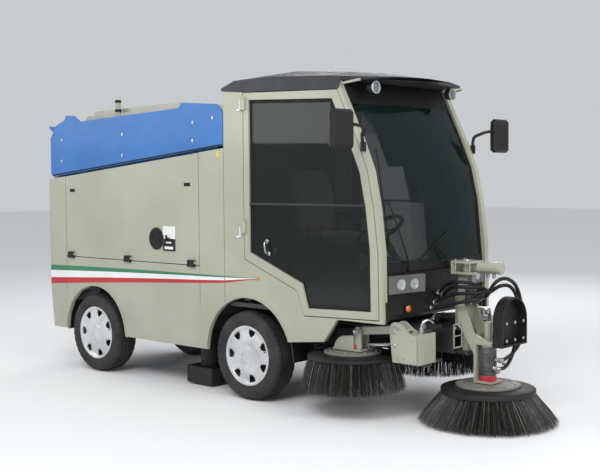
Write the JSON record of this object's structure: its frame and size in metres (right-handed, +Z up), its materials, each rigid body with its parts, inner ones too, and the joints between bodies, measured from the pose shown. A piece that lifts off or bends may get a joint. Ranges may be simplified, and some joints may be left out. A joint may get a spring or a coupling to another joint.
{
  "type": "street_sweeper",
  "caption": "A small street sweeper truck with a glazed cab, a tipping blue debris hopper, a suction nozzle, side brushes on linkage arms and a front brush on a swing mast.",
  "frame": {"origin": "Centre of the bounding box on the ground plane, under the middle of the truck with every joint at rest.", "axes": "+X points to the front, the way the truck drives forwards, +Y to the driver's left, +Z up. Metres."},
  "size_m": [4.48, 1.97, 2.3527],
  "materials": {
    "body_paint": "satin",
    "blue_paint": "satin",
    "charcoal": "matte",
    "black_plastic": "matte",
    "frame_paint": "satin",
    "rubber": "matte",
    "trim_silver": "satin",
    "steel": "satin",
    "cast_metal": "matte",
    "glass": "gloss",
    "lamp_glass": "gloss",
    "red_lens": "gloss",
    "seat_fabric": "matte",
    "bristle": "matte"
  },
  "bodies": {
    "truck_frame": {"body_shell": "body_paint", "chassis_frame": "frame_paint", "cab_shell": "body_paint", "cab_floor": "charcoal", "cab_roof": "charcoal", "front_panel": "black_plastic", "rear_panel": "body_paint", "windscreen": "glass", "dashboard": "black_plastic", "seat_cushion": "seat_fabric", "seat_back": "seat_fabric", "engine_block": "cast_metal", "front_axle": "cast_metal", "rear_axle": "cast_metal", "headlight_left": "lamp_glass", "headlight_right": "lamp_glass", "mirror_left": "black_plastic", "mirror_right": "black_plastic", "beacon": "red_lens", "suction_nozzle": "black_plastic"},
    "hopper": {"hopper_bin": "blue_paint", "hopper_cover": "body_paint", "hopper_pin_left": "steel", "hopper_pin_right": "steel"},
    "hopper_tail_door": {"hopper_door": "blue_paint"},
    "tip_cylinder_barrel": {"tip_barrel": "frame_paint"},
    "tip_cylinder_rod": {"tip_rod": "steel"},
    "front_swing_mast": {"front_mast": "body_paint"},
    "front_lift_arm": {"front_arm": "body_paint", "front_guard": "black_plastic"},
    "front_rotor": {"front_brush": "bristle"},
    "steer_knuckle_right": {"knuckle_right": "cast_metal"},
    "front_wheel_right": {"tyre_front_right": "rubber", "rim_front_right": "trim_silver"},
    "rear_wheel_right": {"tyre_rear_right": "rubber", "rim_rear_right": "trim_silver"},
    "cab_door_right": {"door_frame_right": "body_paint", "door_glass_right": "glass"},
    "engine_hatch_right": {"hatch_right": "body_paint"},
    "side_swing_right": {"side_base_right": "body_paint"},
    "side_upper_arm_right": {"side_arm_right": "body_paint"},
    "side_lower_link_right": {"side_link_right": "steel"},
    "side_brush_head_right": {"side_head_right": "body_paint"},
    "side_rotor_right": {"side_brush_right": "bristle"},
    "steer_knuckle_left": {"knuckle_left": "cast_metal"},
    "front_wheel_left": {"tyre_front_left": "rubber", "rim_front_left": "trim_silver"},
    "rear_wheel_left": {"tyre_rear_left": "rubber", "rim_rear_left": "trim_silver"},
    "cab_door_left": {"door_frame_left": "body_paint", "door_glass_left": "glass"},
    "engine_hatch_left": {"hatch_left": "body_paint"},
    "side_swing_left": {"side_base_left": "body_paint"},
    "side_upper_arm_left": {"side_arm_left": "body_paint"},
    "side_lower_link_left": {"side_link_left": "steel"},
    "side_brush_head_left": {"side_head_left": "body_paint"},
    "side_rotor_left": {"side_brush_left": "bristle"}
  },
  "joints": [
    {"name": "steer_right", "type": "hinge", "parent": "truck_frame", "child": "steer_knuckle_right", "pos_m": [0.16, -0.43, 0.315], "axis": [0, 0, 1], "range_deg": [-30, 30]},
    {"name": "wheel_front_right", "type": "hinge", "parent": "steer_knuckle_right", "child": "front_wheel_right", "pos_m": [0.16, -0.4975, 0.315], "axis": [0, 1, 0], "continuous": true},
    {"name": "wheel_rear_right", "type": "hinge", "parent": "truck_frame", "child": "rear_wheel_right", "pos_m": [-1.582, -0.4975, 0.315], "axis": [0, 1, 0], "continuous": true},
    {"name": "door_right", "type": "hinge", "parent": "truck_frame", "child": "cab_door_right", "pos_m": [0.165, -0.62, 0.649], "axis": [0, 0, -1], "range_deg": [0, 80]},
    {"name": "hatch_right", "type": "hinge", "parent": "truck_frame", "child": "engine_hatch_right", "pos_m": [-1.925, -0.621, 0.927], "axis": [1, 0, 0], "range_deg": [0, 95]},
    {"name": "side_swing_right", "type": "hinge", "parent": "truck_frame", "child": "side_swing_right", "pos_m": [1.5, -0.345, 0.392], "axis": [0, 0, 1], "range_deg": [0, 30]},
    {"name": "side_lift_right", "type": "hinge", "parent": "side_swing_right", "child": "side_upper_arm_right", "pos_m": [1.395, -0.45, 0.6], "axis": [0, -1, 0], "range_deg": [-8, 33.5]},
    {"name": "side_link_right", "type": "hinge", "parent": "side_swing_right", "child": "side_lower_link_right", "pos_m": [1.395, -0.45, 0.505], "axis": [0, -1, 0], "range_deg": [-8, 33.5]},
    {"name": "side_level_right", "type": "hinge", "parent": "side_upper_arm_right", "child": "side_brush_head_right", "pos_m": [1.085, -0.45, 0.565], "axis": [0, -1, 0], "range_deg": [-33.5, 8]},
    {"name": "side_spin_right", "type": "hinge", "parent": "side_brush_head_right", "child": "side_rotor_right", "pos_m": [1.01, -0.45, 0.17], "axis": [0, 0, 1], "continuous": true},
    {"name": "steer_left", "type": "hinge", "parent": "truck_frame", "child": "steer_knuckle_left", "pos_m": [0.16, 0.43, 0.315], "axis": [0, 0, 1], "range_deg": [-30, 30]},
    {"name": "wheel_front_left", "type": "hinge", "parent": "steer_knuckle_left", "child": "front_wheel_left", "pos_m": [0.16, 0.4975, 0.315], "axis": [0, 1, 0], "continuous": true},
    {"name": "wheel_rear_left", "type": "hinge", "parent": "truck_frame", "child": "rear_wheel_left", "pos_m": [-1.582, 0.4975, 0.315], "axis": [0, 1, 0], "continuous": true},
    {"name": "door_left", "type": "hinge", "parent": "truck_frame", "child": "cab_door_left", "pos_m": [0.165, 0.62, 0.649], "axis": [0, 0, 1], "range_deg": [0, 80]},
    {"name": "hatch_left", "type": "hinge", "parent": "truck_frame", "child": "engine_hatch_left", "pos_m": [-1.925, 0.621, 0.927], "axis": [-1, 0, 0], "range_deg": [0, 95]},
    {"name": "side_swing_left", "type": "hinge", "parent": "truck_frame", "child": "side_swing_left", "pos_m": [1.5, 0.345, 0.392], "axis": [0, 0, -1], "range_deg": [0, 30]},
    {"name": "side_lift_left", "type": "hinge", "parent": "side_swing_left", "child": "side_upper_arm_left", "pos_m": [1.395, 0.45, 0.6], "axis": [0, -1, 0], "range_deg": [-8, 33.5]},
    {"name": "side_link_left", "type": "hinge", "parent": "side_swing_left", "child": "side_lower_link_left", "pos_m": [1.395, 0.45, 0.505], "axis": [0, -1, 0], "range_deg": [-8, 33.5]},
    {"name": "side_level_left", "type": "hinge", "parent": "side_upper_arm_left", "child": "side_brush_head_left", "pos_m": [1.085, 0.45, 0.565], "axis": [0, -1, 0], "range_deg": [-33.5, 8]},
    {"name": "side_spin_left", "type": "hinge", "parent": "side_brush_head_left", "child": "side_rotor_left", "pos_m": [1.01, 0.45, 0.17], "axis": [0, 0, 1], "continuous": true},
    {"name": "hopper_tip", "type": "hinge", "parent": "truck_frame", "child": "hopper", "pos_m": [-2.09, 0, 1.612], "axis": [0, -1, 0], "range_deg": [0, 50]},
    {"name": "tail_door", "type": "hinge", "parent": "hopper", "child": "hopper_tail_door", "pos_m": [-2.076, 0, 1.93], "axis": [0, 1, 0], "range_deg": [0, 80]},
    {"name": "tip_barrel", "type": "hinge", "parent": "truck_frame", "child": "tip_cylinder_barrel", "pos_m": [-0.24, 0, 0.6], "axis": [0, -1, 0], "range_deg": [-42.5, 0]},
    {"name": "tip_rod", "type": "slide", "parent": "tip_cylinder_barrel", "child": "tip_cylinder_rod", "axis": [-0.9712, 0, 0.2382], "range_m": [0, 0.285]},
    {"name": "front_swing", "type": "hinge", "parent": "truck_frame", "child": "front_swing_mast", "pos_m": [1.58, 0.03, 0.58], "axis": [0, 0, 1], "range_deg": [0, 30]},
    {"name": "front_lift", "type": "slide", "parent": "front_swing_mast", "child": "front_lift_arm", "axis": [0, 0, 1], "range_m": [0, 0.12]},
    {"name": "front_spin", "type": "hinge", "parent": "front_lift_arm", "child": "front_rotor", "pos_m": [1.79, -0.05, 0.004], "axis": [0, 0, 1], "continuous": true}
  ],
  "couplings": [
    {"joint": "side_link_right", "follows": "side_lift_right", "ratio": 1},
    {"joint": "side_level_right", "follows": "side_lift_right", "ratio": -1},
    {"joint": "side_link_left", "follows": "side_lift_left", "ratio": 1},
    {"joint": "side_level_left", "follows": "side_lift_left", "ratio": -1},
    {"joint": "steer_left", "follows": "steer_right", "ratio": 1},
    {"joint": "tip_barrel", "follows": "hopper_tip", "ratio": -0.84341},
    {"joint": "tip_rod", "follows": "hopper_tip", "m_per_rad": 0.31737}
  ]
}
